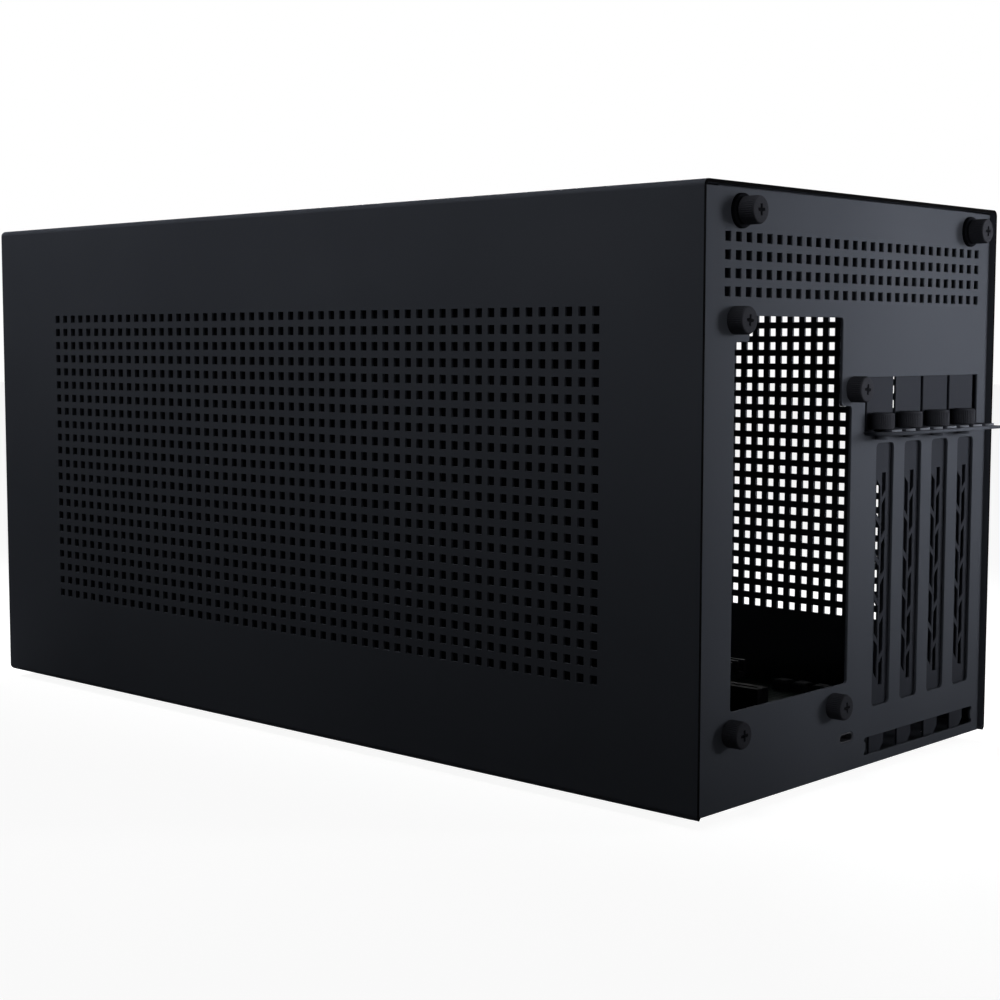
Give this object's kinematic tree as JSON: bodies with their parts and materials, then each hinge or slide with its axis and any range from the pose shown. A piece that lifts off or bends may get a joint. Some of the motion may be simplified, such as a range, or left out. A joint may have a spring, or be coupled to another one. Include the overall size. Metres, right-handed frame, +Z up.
{
  "type": "external graphics card enclosure",
  "caption": "Box-shaped steel enclosure for a graphics card, with perforated sides, slot covers, a power supply opening, a fan and a cover that slides off to the front.",
  "frame": {"origin": "on the floor under the feet, below the middle of the whole object's bounding box", "axes": "+Z up, +Y from the front of the cover to the rear panel, +X towards the side with the power supply opening"},
  "size_m": [0.1964, 0.4172, 0.2124],
  "materials": {
    "powder_coat": "fine matt black powder coat on steel sheet",
    "black_screw": "black zinc plate, knurled heads",
    "zinc_steel": "bright zinc plate",
    "filter_mesh": "fine black nylon mesh in a moulded rim",
    "rubber": "matt black rubber",
    "solder_mask": "dark solder mask on glass-fibre board",
    "black_plastic": "matt black moulded plastic",
    "anodised": "dark anodised aluminium",
    "brass": "plain turned brass",
    "ferrite": "dark grey moulded ferrite"
  },
  "bodies": {
    "chassis": {"base_tray": "powder_coat", "rubber_feet": "rubber", "rear_panel": "powder_coat", "slot_cover_1": "powder_coat", "slot_cover_2": "powder_coat", "slot_cover_3": "powder_coat", "slot_cover_4": "powder_coat", "slot_screws": "black_screw", "psu_screws": "black_screw", "screw_collars": "black_screw", "interface_board": "solder_mask", "standoffs": "brass", "board_screws": "zinc_steel", "base_screws": "zinc_steel", "card_slot": "black_plastic", "port_shell": "zinc_steel", "port_tongue": "black_plastic", "power_header": "black_plastic", "fan_header": "black_plastic", "controller_chip": "black_plastic", "heat_sink": "anodised", "inductors": "ferrite", "psu_rail": "powder_coat", "fan_bracket": "powder_coat", "fan_frame": "black_plastic", "fan_screws": "zinc_steel"},
    "hood": {"outer_cover": "powder_coat", "cover_bracket": "powder_coat", "clinch_nuts": "zinc_steel", "side_filter": "filter_mesh"},
    "left_captive_screw": {"cover_screw_left": "black_screw"},
    "right_captive_screw": {"cover_screw_right": "black_screw"},
    "rotor": {"fan_rotor": "black_plastic"},
    "latch": {"card_latch": "black_plastic"}
  },
  "joints": [
    {"name": "hood_slide", "type": "slide", "parent": "chassis", "child": "hood", "axis": [0, -1, 0], "range_m": [0, 0.42]},
    {"name": "left_captive_screw_turn", "type": "hinge", "parent": "chassis", "child": "left_captive_screw", "pos_m": [0.0749, 0.19805, 0.2033], "axis": [0, 1, 0], "continuous": true},
    {"name": "right_captive_screw_turn", "type": "hinge", "parent": "chassis", "child": "right_captive_screw", "pos_m": [-0.0797, 0.19805, 0.2033], "axis": [0, 1, 0], "continuous": true},
    {"name": "fan_spin", "type": "hinge", "parent": "chassis", "child": "rotor", "pos_m": [0, -0.18015, 0.1077], "axis": [0, 1, 0], "continuous": true},
    {"name": "card_latch_hinge", "type": "hinge", "parent": "chassis", "child": "latch", "pos_m": [-0.0132, 0.05635, 0.0183], "axis": [1, 0, 0], "range_deg": [0, 25]}
  ]
}
